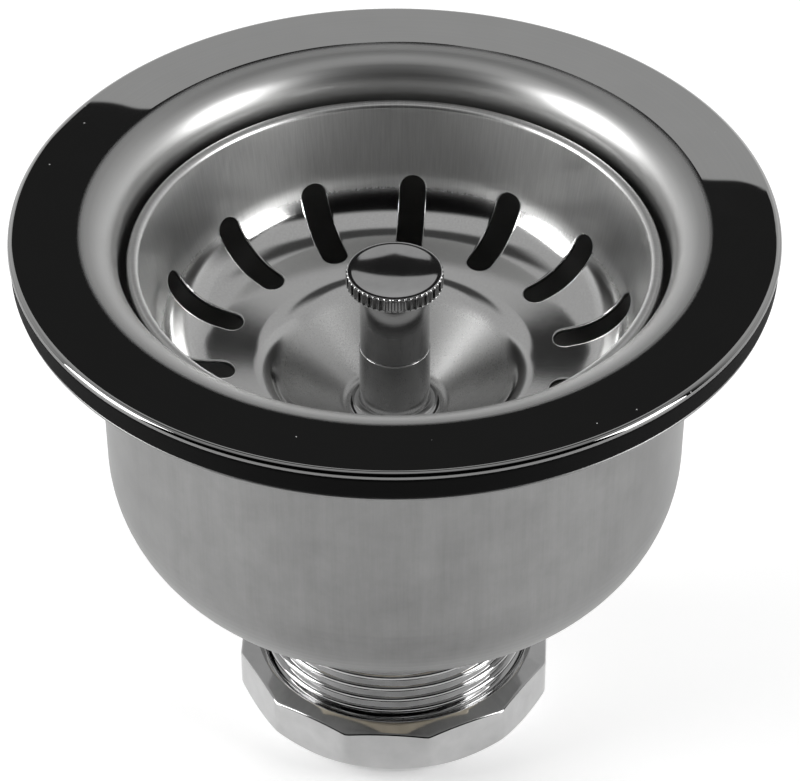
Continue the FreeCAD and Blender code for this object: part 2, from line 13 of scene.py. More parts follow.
import bmesh
import bpy
import numpy as np
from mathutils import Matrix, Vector


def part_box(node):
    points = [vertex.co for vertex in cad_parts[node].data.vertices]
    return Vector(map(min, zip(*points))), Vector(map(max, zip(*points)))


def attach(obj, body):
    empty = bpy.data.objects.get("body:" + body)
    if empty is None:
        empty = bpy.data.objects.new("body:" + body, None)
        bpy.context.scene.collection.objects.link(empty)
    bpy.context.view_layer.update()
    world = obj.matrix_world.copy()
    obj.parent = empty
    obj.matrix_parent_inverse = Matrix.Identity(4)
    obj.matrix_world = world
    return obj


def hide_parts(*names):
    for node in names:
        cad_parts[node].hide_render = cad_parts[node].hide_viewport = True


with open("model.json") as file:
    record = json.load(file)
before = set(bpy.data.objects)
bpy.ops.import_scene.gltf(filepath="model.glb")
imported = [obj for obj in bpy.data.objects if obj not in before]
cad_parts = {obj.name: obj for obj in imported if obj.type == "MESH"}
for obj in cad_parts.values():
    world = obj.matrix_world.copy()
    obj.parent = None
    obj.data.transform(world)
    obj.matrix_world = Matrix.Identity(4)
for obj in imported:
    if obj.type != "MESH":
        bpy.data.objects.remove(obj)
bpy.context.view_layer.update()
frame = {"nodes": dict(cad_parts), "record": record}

MM = 0.001
BODIES = frame["record"]["behaviour"]["bodies"]
BODY_OF = {node: body for body, nodes in BODIES.items() for node in nodes}
SLOT_OF = {part["node"]: part["material_slot"] for part in frame["record"]["subparts"]}
scene = bpy.context.scene
print(f"{len(BODY_OF)} pieces on {len(BODIES)} bodies")

# %% [markdown]
# ## Measuring the frame
#
# Nearly every piece is round about the Z axis, so three numbers place it: its radius, its foot and
# its top. They could be typed in again here, but a box read from the frame can never disagree with
# the model. Lengths in this script are millimetres, because that is how such a fitting is drawn.


# %% Radius, foot and top of a piece
def span(node):
    """Radius, foot and top of a round piece, in millimetres."""
    low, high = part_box(node)
    return high.x / MM, low.z / MM, high.z / MM


FLANGE_RADIUS, BOWL_UNDER, FLANGE_TOP = span("strainer_body")
GASKET_RADIUS, GASKET_FOOT, GASKET_TOP = span("sink_gasket")
CUP_RIM_RADIUS, CUP_FOOT, CUP_TOP = span("outer_cup")
SPUD_RADIUS, SPUD_END, SEAT_TOP = span("outlet_spud")
NUT_FOOT, NUT_TOP = span("coupling_nut")[1:]
RIM_RADIUS, BASKET_UNDER, RIM_TOP = span("basket_shell")
SLEEVE_FOOT_RADIUS, BASKET_FLOOR, SLEEVE_TOP = span("post_sleeve")
HEAD_RADIUS, KNOB_FOOT, KNOB_TOP = span("knob")
print(f"flange {2 * FLANGE_RADIUS:.1f} mm across, {FLANGE_TOP - NUT_FOOT:.1f} mm from top to foot")

# %% [markdown]
# ## Writing node trees as sums
#
# Finishes and shaping rules are node trees, and most of their nodes are arithmetic. They could be
# wired one by one, but a small class that wraps a socket lets Python's own signs do it: `1 - mask`
# adds a Subtract node and links it. One more method adds any other kind of node.


# %% A socket that can be added and multiplied
class Signal:
    """A socket of a node tree. An operator on it adds a Math node and gives that node's result."""

    def __init__(self, tree, socket):
        self.tree = tree
        self.socket = socket

    def node(self, kind, settings=None, sockets=None, output=0):
        """Add a node: its type, its settings, the values or links of its sockets, and its output."""
        made = self.tree.nodes.new(kind)
        for key, value in (settings or {}).items():
            setattr(made, key, value)
        for key, value in (sockets or {}).items():
            if isinstance(value, Signal):
                self.tree.links.new(value.socket, made.inputs[key])
            else:
                made.inputs[key].default_value = value
        return Signal(self.tree, made.outputs[output])

    def also(self, output):
        """Another output of the node that this signal comes from."""
        return Signal(self.tree, self.socket.node.outputs[output])

    def maths(self, operation, *values):
        return self.node("ShaderNodeMath", {"operation": operation}, dict(enumerate(values)))

    def __add__(self, other):
        return self.maths("ADD", self, other)

    def __sub__(self, other):
        return self.maths("SUBTRACT", self, other)

    def __rsub__(self, other):
        return self.maths("SUBTRACT", other, self)

    def __mul__(self, other):
        return self.maths("MULTIPLY", self, other)

    def __truediv__(self, other):
        return self.maths("DIVIDE", self, other)

    def __rtruediv__(self, other):
        return self.maths("DIVIDE", other, self)

    def __gt__(self, other):
        return self.maths("GREATER_THAN", self, other)

    __radd__ = __add__
    __rmul__ = __mul__

    def root(self):
        return self.maths("SQRT", self)

    def ease(self, low, high, start=0.0, end=1.0):
        """A smooth step from start to end as the signal goes from low to high."""
        sockets = {0: self, 1: low, 2: high, 3: start, 4: end}
        return self.node("ShaderNodeMapRange", {"interpolation_type": "SMOOTHSTEP"}, sockets)

    def vector(self, across, upward):
        """This signal and two more as the X, Y and Z of a vector."""
        return self.node("ShaderNodeCombineXYZ", None, {0: self, 1: across, 2: upward})

    def scaled(self, factor):
        return self.node("ShaderNodeVectorMath", {"operation": "SCALE"}, {0: self, "Scale": factor})

    def noise(self, scale, detail=2.0, roughness=0.5):
        """Soft noise at the places that this vector names."""
        sockets = {"Vector": self, "Scale": scale, "Detail": detail, "Roughness": roughness}
        return self.node("ShaderNodeTexNoise", None, sockets)

    def feed(self, socket):
        self.tree.links.new(self.socket, socket)


print("node trees can be written as sums")

# %% [markdown]
# ## What the metal finishes share
#
# Rolled, drawn, polished and plated metal all differ in their marks, not in their make-up. A finish
# could be an image, but marks worked out from the object's own coordinates stay sharp in any close
# view. Each finish below starts from one metal shader. Marks that run round or down a turned piece
# need the radius and the direction round the axis, and the direction is kept as a cosine and a sine
# because an angle would leave a seam where it jumps from 180 to -180 degrees.


# %% A shader to start from
class Finish:
    """A new material with its shader, and the places on the piece in millimetres."""

    def __init__(self, name, colour, roughness, metallic=1.0):
        self.name = name
        self.material = bpy.data.materials.new(name)
        self.material.use_nodes = True
        self.tree = self.material.node_tree
        self.shader = self.tree.nodes["Principled BSDF"]
        self.set("Base Color", (*colour, 1.0))
        self.set("Roughness", roughness)
        self.set("Metallic", metallic)
        self.material.diffuse_color = (*colour, 1.0)
        coordinates = self.tree.nodes.new("ShaderNodeTexCoord")
        self.place = Signal(self.tree, coordinates.outputs["Object"]).scaled(1 / MM)
        self.x = self.place.node("ShaderNodeSeparateXYZ", None, {0: self.place})
        self.y = self.x.also(1)
        self.z = self.x.also(2)
        self.radius = (self.x * self.x + self.y * self.y).root() + 1e-4
        self.cosine = self.x / self.radius
        self.sine = self.y / self.radius

    def set(self, name, value):
        """A value that is the same all over goes on the shader's own socket."""
        self.shader.inputs[name].default_value = value

    def lines_round(self, spacing):
        """Fine marks that run round the axis, as polishing and turning leave them."""
        lines = (self.radius / spacing).vector(self.z / spacing, self.cosine * 0.7 + self.sine * 0.4)
        return lines.noise(1.0, 3.0, 0.6)

    def lines_down(self, width, radius):
        """Fine marks that run down a wall of a radius, as drawing through a die leaves them."""
        reach = radius / width
        lines = (self.cosine * reach).vector(self.sine * reach, self.z * (0.04 / width))
        return lines.noise(1.0, 3.0, 0.65)

    def specks(self, spacing, size, share):
        """Dust: small round dots in a share of the cells of a random grid."""
        sockets = {"Vector": self.place, "Scale": 1 / spacing}
        cells = self.place.node("ShaderNodeTexVoronoi", None, sockets)
        lot = cells.node("ShaderNodeSeparateColor", None, {0: cells.also(1)})
        dot = 1 - cells.ease(size / spacing * 0.5, size / spacing)
        return dot * (lot > 1 - share)

    def blend(self, factor, colour, other):
        """Base colour between two colours."""
        sockets = {0: factor, 6: (*colour, 1.0), 7: (*other, 1.0)}
        mixed = self.place.node("ShaderNodeMix", {"data_type": "RGBA"}, sockets, 2)
        mixed.feed(self.shader.inputs["Base Color"])

    def relief(self, height, depth):
        """Let a height from 0 to 1 stand up by a depth in millimetres."""
        sockets = {"Strength": 1.0, "Distance": depth * MM, "Height": height}
        self.place.node("ShaderNodeBump", None, sockets).feed(self.shader.inputs["Normal"])

    def rough(self, amount):
        amount.feed(self.shader.inputs["Roughness"])

    def keep(self):
        """Put the material on the shelf for the pieces."""
        MATERIALS[self.name] = self.material
        print(f"{self.name}: {len(self.tree.nodes)} nodes")


MATERIALS = {}
print("finishes start from one shader")

# %% [markdown]
# ## Polished sheet: the bowl and its flange
#
# The flange is buffed nearly to a mirror, while the shoulder and the bowl keep the soft sheen of
# the polishing wheel, with marks that run round. One material holds both and changes over at
# the shoulder's radius, because the real piece is one sheet. The flange isn't quite flat either, and a
# very shallow wave bends what it mirrors. Its turned-down edge is painted darker, a painted shade
# that keeps it from mirroring the bright floor, and a little dust lies on it.


# %% Polished steel
SHOULDER_RADIUS = 46.5
DUST_RADIUS = 43.0
SHADED_EDGE_WIDTH = 0.7


def polished_steel():
    finish = Finish("polished_steel", (0.60, 0.60, 0.60), 0.2)
    marks = finish.lines_round(0.12)
    flat = finish.radius.ease(SHOULDER_RADIUS - 0.6, SHOULDER_RADIUS + 0.8)
    cloud = finish.place.noise(0.11, 2.0)
    dust = finish.specks(2.6, 0.16, 0.3) * finish.radius.ease(DUST_RADIUS - 1, DUST_RADIUS + 1)
    sheen = 0.32 + marks * 0.14
    mirror = 0.006 + cloud * 0.012
    finish.rough(flat * mirror + (1 - flat) * sheen + dust * 0.3)
    # Painted shade: the turned-down lip is darkened in its base colour so that it doesn't mirror the
    # bright floor.
    edge = finish.radius.ease(FLANGE_RADIUS - SHADED_EDGE_WIDTH, FLANGE_RADIUS - 0.1)
    tone_and_edge_shade = (0.78 + marks * 0.13 + cloud * 0.09) * (1 - edge * 0.8)
    finish.blend(tone_and_edge_shade, (0.1, 0.1, 0.099), (0.56, 0.56, 0.555))
    (1 - dust).feed(finish.shader.inputs["Metallic"])
    wave = finish.place.noise(0.06, 1.0) * flat + (1 - flat) * marks * 0.06
    finish.relief(wave, 0.05)
    finish.keep()


polished_steel()

# %% [markdown]
# ## Dull drawn sheet: the outer cup
#
# The cup is left as it came from the press: a grey satin skin with faint upright lines from the
# die and cloudy patches. A brushed look could come from an anisotropic shader, but marks in the
# roughness and a very fine relief survive the export.


# %% Satin steel
DRAWN_RADIUS = 44.5


def satin_steel():
    finish = Finish("satin_steel", (0.27, 0.27, 0.267), 0.36)
    lines = finish.lines_down(0.35, DRAWN_RADIUS)
    broad = finish.lines_down(2.4, DRAWN_RADIUS)
    stain = finish.place.noise(0.12, 5.0, 0.65)
    finish.rough(0.27 + lines * 0.08 + broad * 0.08 + stain * 0.1)
    finish.blend(lines * 0.2 + broad * 0.25 + stain * 0.55, (0.12, 0.12, 0.119), (0.34, 0.34, 0.337))
    finish.relief(lines * 0.5 + broad * 0.5, 0.006)
    finish.keep()


satin_steel()

# %% [markdown]
# ## Bright drawn sheet: the basket
#
# The basket is drawn from thinner sheet than the bowl. Its wall is brushed with fine upright lines,
# its pan stays bright, and the cone in the middle has a satin grain. The three are told apart by
# radius, as on the bowl. The cone could be as bright as the pan, but it leans towards the soft boxes
# and would mirror them as hard white streaks.


# %% Basket steel
PAN_EDGE = 34.0
CONE_EDGE = 18.0


def basket_steel():
    finish = Finish("basket_steel", (0.62, 0.62, 0.615), 0.2)
    lines = finish.lines_down(0.22, PAN_EDGE)
    grain = finish.place.noise(4.0, 4.0, 0.7)
    cloud = finish.place.noise(0.15, 2.0)
    wall = finish.radius.ease(PAN_EDGE, PAN_EDGE + 2)
    cone = finish.radius.ease(CONE_EDGE - 1, CONE_EDGE + 1, 1.0, 0.0)
    bright = 0.07 + cloud * 0.04 + grain * 0.03
    finish.rough(bright + wall * (0.16 + lines * 0.14) + cone * (0.14 + grain * 0.08))
    finish.blend(wall * lines + (1 - wall) * grain, (0.50, 0.50, 0.495), (0.72, 0.72, 0.715))
    finish.relief(wall * lines * 4 + (1 - wall) * grain, 0.0025)
    finish.keep()


basket_steel()

# %% [markdown]
# ## Bright plate: spud, nut, post and knob
#
# Turned brass under a bright plate mirrors its surroundings sharply. The plate follows the marks of
# the lathe, so faint rings blur its highlights, a little more on the post than elsewhere, and
# handling leaves smears. The height says where the post is: above the basket's floor and below the
# knob's head.


# %% Chrome plate
HEAD_HEIGHT = 2.4
TURNING_DEPTH = 0.0008


def chrome_plate():
    finish = Finish("chrome_plate", (0.70, 0.70, 0.70), 0.09)
    marks = finish.lines_round(0.09)
    smear = finish.place.noise(0.35, 3.0)
    post = (finish.z > BASKET_FLOOR) * (1 - (finish.z > KNOB_TOP - HEAD_HEIGHT))
    finish.rough(0.02 + marks * 0.03 + smear * 0.05)
    finish.blend(smear, (0.42, 0.42, 0.42), (0.54, 0.54, 0.54))
    finish.relief(marks * (1 + post), TURNING_DEPTH)
    finish.keep()


chrome_plate()

# %% [markdown]
# ## Brass, spring steel and rubber
#
# The pieces that a user hardly sees are plain: turned brass for the stem and its nut, blued spring
# wire for the catch, and black moulded rubber for the gasket, the stopper's seal and the washer.


# %% The plain finishes
def plain_brass():
    finish = Finish("plain_brass", (0.50, 0.45, 0.36), 0.28)
    marks = finish.lines_round(0.11)
    stain = finish.place.noise(0.3, 4.0, 0.6)
    finish.rough(0.2 + marks * 0.12 + stain * 0.12)
    finish.blend(stain, (0.54, 0.49, 0.40), (0.36, 0.32, 0.25))
    finish.relief(marks, 0.003)
    finish.keep()


def spring_steel():
    finish = Finish("spring_steel", (0.34, 0.34, 0.36), 0.3)
    marks = finish.lines_round(0.07)
    stain = finish.place.noise(0.9, 3.0)
    finish.rough(0.24 + marks * 0.14)
    finish.blend(stain, (0.27, 0.28, 0.31), (0.4, 0.39, 0.38))
    finish.relief(marks, 0.002)
    finish.keep()


def black_rubber():
    finish = Finish("black_rubber", (0.006, 0.006, 0.006), 0.6, 0.0)
    finish.set("Specular IOR Level", 0.05)
    grain = finish.place.noise(5.0, 4.0, 0.7)
    bloom = finish.place.noise(0.14, 3.0)
    dust = finish.specks(2.2, 0.14, 0.25)
    finish.rough(0.48 + grain * 0.14 + bloom * 0.12)
    finish.blend(bloom * 0.2 + dust * 0.6, (0.001, 0.001, 0.001), (0.012, 0.012, 0.012))
    finish.relief(grain, 0.012)
    finish.keep()


plain_brass()
spring_steel()
black_rubber()

# %% [markdown]
# ## Sections of turned and drawn pieces
#
# A turned or drawn piece is known by its section, so each one below is a short list of corners with
# the bend at each corner, as on a workshop drawing. A Screw modifier could spin it, but a function
# that rounds the corners also puts a point close to each end of a straight run: smooth shading then
# keeps flats flat and lets only the bends catch the light.


# %% From corners to a section
ARC_STEP = 7.0
SUPPORT = 0.22


def unit(vector):
    return vector / np.hypot(*vector)


def outline(corners, closed=False, arc_step=ARC_STEP):
    """Points in mm through corners (radius, height) or (radius, height, bend), with arcs for bends."""
    points = []
    count = len(corners)
    for index, corner in enumerate(corners):
        here = np.array(corner[:2], float)
        at_end = not closed and index in (0, count - 1)
        if at_end or len(corner) < 3:
            points.append(here)
            continue
        bend = corner[2]
        back = unit(np.array(corners[index - 1][:2], float) - here)
        ahead = unit(np.array(corners[(index + 1) % count][:2], float) - here)
        half = math.acos(np.clip(back @ ahead, -1.0, 1.0)) / 2
        centre = here + unit(back + ahead) * bend / math.sin(half)
        first = here + back * bend / math.tan(half) - centre
        side = np.sign(back[1] * ahead[0] - back[0] * ahead[1])
        turn = math.pi - 2 * half
        steps = max(2, round(math.degrees(turn) / arc_step))
        for angle in np.linspace(0, side * turn, steps + 1):
            spin = np.array([[math.cos(angle), -math.sin(angle)], [math.sin(angle), math.cos(angle)]])
            points.append(centre + spin @ first)
    return np.array(points)


def supported(points, closed=False, every=False):
    """The same section with a point close to each end of every long run, or of every run at all."""
    after = np.roll(points, -1, axis=0) if closed else np.vstack([points[1:], points[-1:]])
    result = []
    for here, there in zip(points, after):
        result.append(here)
        run = there - here
        length = np.hypot(*run)
        if every or length > 3 * SUPPORT:
            inset = run * min(SUPPORT / length, 1 / 3)
            result.append(here + inset)
            result.append(there - inset)
    return np.array(result)


def headings(points):
    """Unit vectors along a line at each of its points."""
    runs = np.diff(points, axis=0)
    runs /= np.hypot(runs[:, 0], runs[:, 1])[:, None]
    heading = np.vstack([runs[:1], runs[:-1] + runs[1:], runs[-1:]])
    return heading / np.hypot(heading[:, 0], heading[:, 1])[:, None]


def cut_edge(edge, across, ahead):
    """A sheet's rounded cut edge: from the edge of one face, across the sheet, bulging ahead."""
    middle = edge + across / 2
    bulge = ahead * np.hypot(*across) / 2
    angles = np.linspace(0, math.pi, 6)[1:-1]
    return [middle - across / 2 * math.cos(angle) + bulge * math.sin(angle) for angle in angles]


def sheet_section(face, thickness):
    """Closed section of a bent sheet: one face is given, and the metal lies on the left of it."""
    ahead = headings(face)
    across = np.stack([-ahead[:, 1], ahead[:, 0]], axis=1) * thickness
    other = face + across
    far_edge = cut_edge(face[-1], across[-1], ahead[-1])
    near_edge = cut_edge(other[0], -across[0], -ahead[0])
    return np.vstack([face, far_edge, other[::-1], near_edge])


print("sections are drawn as corners with bends")

# %% [markdown]
# ## From sections to meshes
#
# A section becomes a mesh when it is set up at many angles round the axis and joined to itself.
# Blender's Spin tool does that too, but a plain grid of points can also change from angle to angle,
# which a nut needs. Doubles are merged, so poles and seams close, and then the faces are turned
# outwards.


# %% Grids, solids and places
SEGMENTS = 192
BOWL_SEGMENTS = 256


class Stock:
    """Vertices and faces of a mesh in the making."""

    def __init__(self):
        self.places = []
        self.faces = []

    def grid(self, rows, wrap_rows=False, wrap_columns=False):
        """Join an array of places (row, column, xyz) with faces. Either way may close on itself."""
        height, width = rows.shape[:2]
        start = len(self.places)
        self.places.extend(rows.reshape(-1, 3).tolist())
        for row in range(height if wrap_rows else height - 1):
            above = (row + 1) % height
            for column in range(width if wrap_columns else width - 1):
                beside = (column + 1) % width
                corners = ((row, column), (row, beside), (above, beside), (above, column))
                self.faces.append([start + r * width + c for r, c in corners])

    def mesh(self, name):
        made = bpy.data.meshes.new(name)
        made.from_pydata(self.places, [], self.faces)
        return made


def close_up(mesh, material):
    """Merge doubles, drop empty faces, turn the rest outwards and shade them smooth."""
    work = bmesh.new()
    work.from_mesh(mesh)
    bmesh.ops.remove_doubles(work, verts=work.verts, dist=1e-7)
    bmesh.ops.dissolve_degenerate(work, edges=work.edges, dist=1e-8)
    bmesh.ops.recalc_face_normals(work, faces=work.faces)
    for face in work.faces:
        face.smooth = True
        face.material_index = 0
    work.to_mesh(mesh)
    work.free()
    mesh.materials.clear()
    mesh.materials.append(material)
    return mesh


def spin(section, angles):
    """Places in metres of a section (radius, height) in mm, at each angle round Z."""
    radius, height = section[:, :1] * MM, section[:, 1:] * MM
    flat = np.broadcast_to(height, (len(section), len(angles)))
    return np.stack([radius * np.cos(angles), radius * np.sin(angles), flat], axis=2)


def turned(node, section, segments=SEGMENTS):
    """A solid of revolution from a closed section."""
    stock = Stock()
    angles = np.arange(segments) * math.tau / segments
    stock.grid(spin(section, angles), wrap_rows=True, wrap_columns=True)
    return close_up(stock.mesh(node), MATERIALS[SLOT_OF[node]])


def put_in_place(node, mesh):
    """Stand a finished mesh in the place of a node: on its body and with its finish."""
    piece = bpy.data.objects.new(f"{node}_finished", mesh)
    scene.collection.objects.link(piece)
    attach(piece, BODY_OF[node])
    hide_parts(node)
    print(f"{piece.name}: {len(mesh.polygons)} faces")


print(f"turned pieces get {SEGMENTS} or {BOWL_SEGMENTS} steps round the axis")

# %% [markdown]
# ## The bowl with its flange
#
# One disc of steel was drawn into a bowl, its edge left as a flange with a small turned-down lip.
# The section below is the side that shows, from the lip inwards and down to the hole in the floor,
# and the sheet's thickness lies behind it.

# %% Bowl and flange
BODY_SHEET = 0.86
FLANGE_EDGE_BEND = 0.87
BOWL_RADIUS = 41.3
BOWL_TAPER = 0.9
NECK_RADIUS = 18.4
BOWL_FLOOR = BOWL_UNDER + BODY_SHEET

bowl_face = [
    (FLANGE_RADIUS, BODY_SHEET / 2),
    (FLANGE_RADIUS, FLANGE_TOP, FLANGE_EDGE_BEND),
    (BOWL_RADIUS, FLANGE_TOP, 5.2),
    (BOWL_RADIUS - BOWL_TAPER, BOWL_FLOOR, 14.0),
    (NECK_RADIUS + BODY_SHEET / 2 + 0.05, BOWL_FLOOR),
]
bowl_section = sheet_section(supported(outline(bowl_face, arc_step=4.0)), BODY_SHEET)
put_in_place("strainer_body", turned("strainer_body", bowl_section, BOWL_SEGMENTS))

# %% [markdown]
# ## Gasket and outer cup
#
# A flat rubber ring lies under the flange, and the turned-out rim of the cup presses it up. The cup
# is a second drawing with a large round bottom corner. Its outer face is the one given, so its
# metal lies on the other side and the thickness is negative.

# %% Gasket and cup
GASKET_BORE = 46.6
CUP_SHEET = 0.7
CUP_RADIUS = 44.85
CUP_TAPER = 0.8
CUP_HOLE = SPUD_RADIUS + 0.35

gasket_section = outline(
    [
        (GASKET_BORE, GASKET_FOOT, 0.25),
        (GASKET_RADIUS, GASKET_FOOT, 0.35),
        (GASKET_RADIUS, GASKET_TOP, 0.35),
        (GASKET_BORE, GASKET_TOP, 0.25),
    ],
    closed=True,
    arc_step=18.0,
)
put_in_place("sink_gasket", turned("sink_gasket", supported(gasket_section, closed=True)))

cup_face = [
    (CUP_RIM_RADIUS - CUP_SHEET / 2, CUP_TOP - CUP_SHEET),
    (CUP_RADIUS, CUP_TOP - CUP_SHEET, 1.6),
    (CUP_RADIUS - CUP_TAPER, CUP_FOOT, 20.85),
    (CUP_HOLE + CUP_SHEET / 2, CUP_FOOT),
]
cup_section = sheet_section(supported(outline(cup_face, arc_step=4.0)), -CUP_SHEET)
put_in_place("outer_cup", turned("outer_cup", cup_section, BOWL_SEGMENTS))

# %% [markdown]
# ## Shaping rules in Geometry Nodes
#
# A thread and a knurl are rules, not shapes: at each angle and height the surface stands so far
# out. They could be modelled tooth by tooth, but a tree that moves points by the rule needs only
# its pitch, its depth and where it begins and ends, and those stay open as named inputs.


# %% Building a rule and baking its result
def new_rule(name, inputs):
    """An empty tree with named inputs. Gives the tree, a signal for each input and the output node."""
    tree = bpy.data.node_groups.new(name, "GeometryNodeTree")
    tree.interface.new_socket("Geometry", in_out="INPUT", socket_type="NodeSocketGeometry")
    for label, kind in inputs.items():
        tree.interface.new_socket(label, in_out="INPUT", socket_type=f"NodeSocket{kind}")
    tree.interface.new_socket("Geometry", in_out="OUTPUT", socket_type="NodeSocketGeometry")
    entry = tree.nodes.new("NodeGroupInput")
    signals = {socket.name: Signal(tree, socket) for socket in entry.outputs if socket.name}
    return tree, signals, tree.nodes.new("NodeGroupOutput")


def end_rule(shaped, material, leave):
    """Every rule ends the same way: real geometry, with its finish set."""
    real = shaped.node("GeometryNodeRealizeInstances", None, {"Geometry": shaped})
    dressed = real.node("GeometryNodeSetMaterial", None, {"Geometry": real, "Material": material})
    dressed.feed(leave.inputs["Geometry"])


def bake_rule(tree, mesh, values):
    """Run a rule on a mesh and give the result as a plain mesh."""
    blank = bpy.data.objects.new(mesh.name, mesh)
    scene.collection.objects.link(blank)
    modifier = blank.modifiers.new(tree.name, "NODES")
    modifier.node_group = tree
    for item in tree.interface.items_tree:
        if item.in_out == "INPUT" and item.name in values:
            modifier[item.identifier] = values[item.name]
    graph = bpy.context.evaluated_depsgraph_get()
    baked = bpy.data.meshes.new_from_object(blank.evaluated_get(graph), depsgraph=graph)
    blank.modifiers.remove(modifier)
    bpy.data.objects.remove(blank)
    return baked


def round_the_axis(signal):
    """Outward direction, radius, angle and height of each point, as signals of a rule's tree."""
    position = signal.node("GeometryNodeInputPosition")
    x = position.node("ShaderNodeSeparateXYZ", None, {0: position})
    y = x.also(1)
    outward = x.vector(y, 0.0)
    outward = outward.node("ShaderNodeVectorMath", {"operation": "NORMALIZE"}, {0: outward})
    radius = (x * x + y * y).root()
    return outward, radius, x.maths("ARCTAN2", y, x), x.also(2)


def press_in(geometry, outward, depth):
    """Move points towards the axis by a depth."""
    sockets = {"Geometry": geometry, "Offset": outward.scaled(0.0 - depth)}
    return geometry.node("GeometryNodeSetPosition", None, sockets)


print("rules can be written and baked")

# %% [markdown]
# ## The threaded outlet
#
# The spud is a turned tube with a pipe thread of 11 turns to the inch, rolled over the edge of the
# bowl's hole at the top as the stopper's seat. The thread's rule compares height with angle: one
# turn raises the groove by one pitch. It fades out under the nut and at the cup, and only points on
# the outer wall move.

# %% Thread rule
PITCH = 2.309
THREAD_DEPTH = 1.35


def thread_rule():
    sizes = {"Pitch": "Float", "Depth": "Float", "Wall": "Float", "Foot": "Float", "Top": "Float"}
    tree, given, leave = new_rule("pipe_thread", {**sizes, "Finish": "Material"})
    outward, radius, angle, height = round_the_axis(given["Geometry"])
    turns = height / given["Pitch"] - angle / math.tau
    swing = turns.maths("FRACT", turns) * 2 - 1
    groove = 1 - swing.maths("ABSOLUTE", swing).ease(0.08, 0.86)
    above = height.ease(given["Foot"], given["Foot"] + given["Pitch"])
    below = 1 - height.ease(given["Top"] - given["Pitch"], given["Top"])
    depth = groove * given["Depth"] * above * below * (radius > given["Wall"])
    end_rule(press_in(given["Geometry"], outward, depth), given["Finish"], leave)
    return tree


pipe_thread = thread_rule()
print(f"thread rule: {len(pipe_thread.nodes)} nodes")

# %% Threaded outlet
SPUD_BORE = 16.9
SEAT_BORE = 17.3
LIP_RADIUS = 20.4
LEDGE = BOWL_UNDER - 5.1
THREAD_CHAMFER = 0.8
ROWS_PER_PITCH = 14

spud_outline = outline(
    [
        (SEAT_BORE, SEAT_TOP, 0.45),
        (LIP_RADIUS, SEAT_TOP, 0.45),
        (LIP_RADIUS, BOWL_FLOOR),
        (NECK_RADIUS, BOWL_FLOOR),
        (NECK_RADIUS, BOWL_UNDER),
        (SPUD_RADIUS, BOWL_UNDER, 0.3),
        (SPUD_RADIUS, SPUD_END, 0.7),
        (SPUD_BORE, SPUD_END, 0.3),
        (SPUD_BORE, LEDGE),
        (SEAT_BORE, LEDGE),
    ],
    closed=True,
)
thread_top = CUP_FOOT + PITCH
thread_rows = np.arange(thread_top, SPUD_END + THREAD_CHAMFER, -PITCH / ROWS_PER_PITCH)
wall = np.stack([np.full_like(thread_rows, SPUD_RADIUS), thread_rows], axis=1)
split = int(np.argmax((spud_outline[:, 1] < thread_rows[-1]) & (spud_outline[:, 0] > SPUD_BORE + 1)))
spud_section = np.vstack([spud_outline[:split], wall, spud_outline[split:]])
thread_sizes = {
    "Pitch": PITCH * MM,
    "Depth": THREAD_DEPTH * MM,
    "Wall": (SPUD_RADIUS - 0.05) * MM,
    "Foot": SPUD_END * MM,
    "Top": thread_top * MM,
    "Finish": MATERIALS["chrome_plate"],
}
spud_mesh = bake_rule(pipe_thread, turned("outlet_spud", spud_section), thread_sizes)
put_in_place("outlet_spud", close_up(spud_mesh, MATERIALS["chrome_plate"]))

# %% [markdown]
# ## Nuts with flats
#
# A nut is turned first, bevelled, and then gets its flats, so each flat ends in a curve where it
# meets the bevel. A boolean could cut it, but the same form follows from one thought: at each angle
# the nut reaches as far as its flats, with rounded corners, and the bevel's height depends on that
# reach alone. The section is worked out at every angle, with the same number of points.


# %% Reach of a nut and its mesh
def nut_angles(sides, turn, per_side):
    return math.radians(turn) + np.arange(sides * per_side) * math.tau / (sides * per_side)


def flat_reach(angle, sides, flats, turn, corner):
    """Distance from the axis to the side of a nut at an angle, with rounded corners."""
    half = math.pi / sides
    off_corner = (angle - math.radians(turn) + half) % (2 * half) - half
    centre = (flats / 2 - corner) / math.cos(half)
    aside = centre * math.sin(off_corner)
    rounded = centre * math.cos(off_corner) + math.sqrt(max(corner**2 - aside**2, 0.0))
    touch = math.atan2(centre * math.sin(half), flats / 2)
    if half - abs(off_corner) < touch:
        return flats / 2 / math.cos(half - abs(off_corner))
    return rounded


def sided_nut(node, section_at, sides, flats, turn, corner, per_side):
    """A nut from a function that gives its closed section at a reach."""
    angles = nut_angles(sides, turn, per_side)
    columns = []
    for angle in angles:
        section = section_at(flat_reach(angle, sides, flats, turn, corner))
        columns.append(spin(section, np.array([angle]))[:, 0])
    stock = Stock()
    stock.grid(np.stack(columns, axis=1), wrap_rows=True, wrap_columns=True)
    return close_up(stock.mesh(node), MATERIALS[SLOT_OF[node]])


print("nuts are made from a section at each reach")

# %% [markdown]
# ## Coupling nut and lock nut
#
# The coupling nut has twelve flats, a flat bevel above and a long taper to its foot, where a lip
# holds the washer that seals the tail pipe. The thin lock nut higher up draws the cup tight.

# %% Coupling nut
NUT_SIDES = 12
NUT_FLATS = 49.0
NUT_TURN = 12.0
NUT_CORNER = 1.6
NUT_FACE = 22.3
NUT_FOOT_FACE = 21.2
NUT_BEVEL = math.tan(math.radians(22))
NUT_TAPER = math.tan(math.radians(48))
NUT_BORE = SPUD_RADIUS + 0.1
LIP_BORE = 16.4
LIP_TOP = NUT_FOOT + 2.2


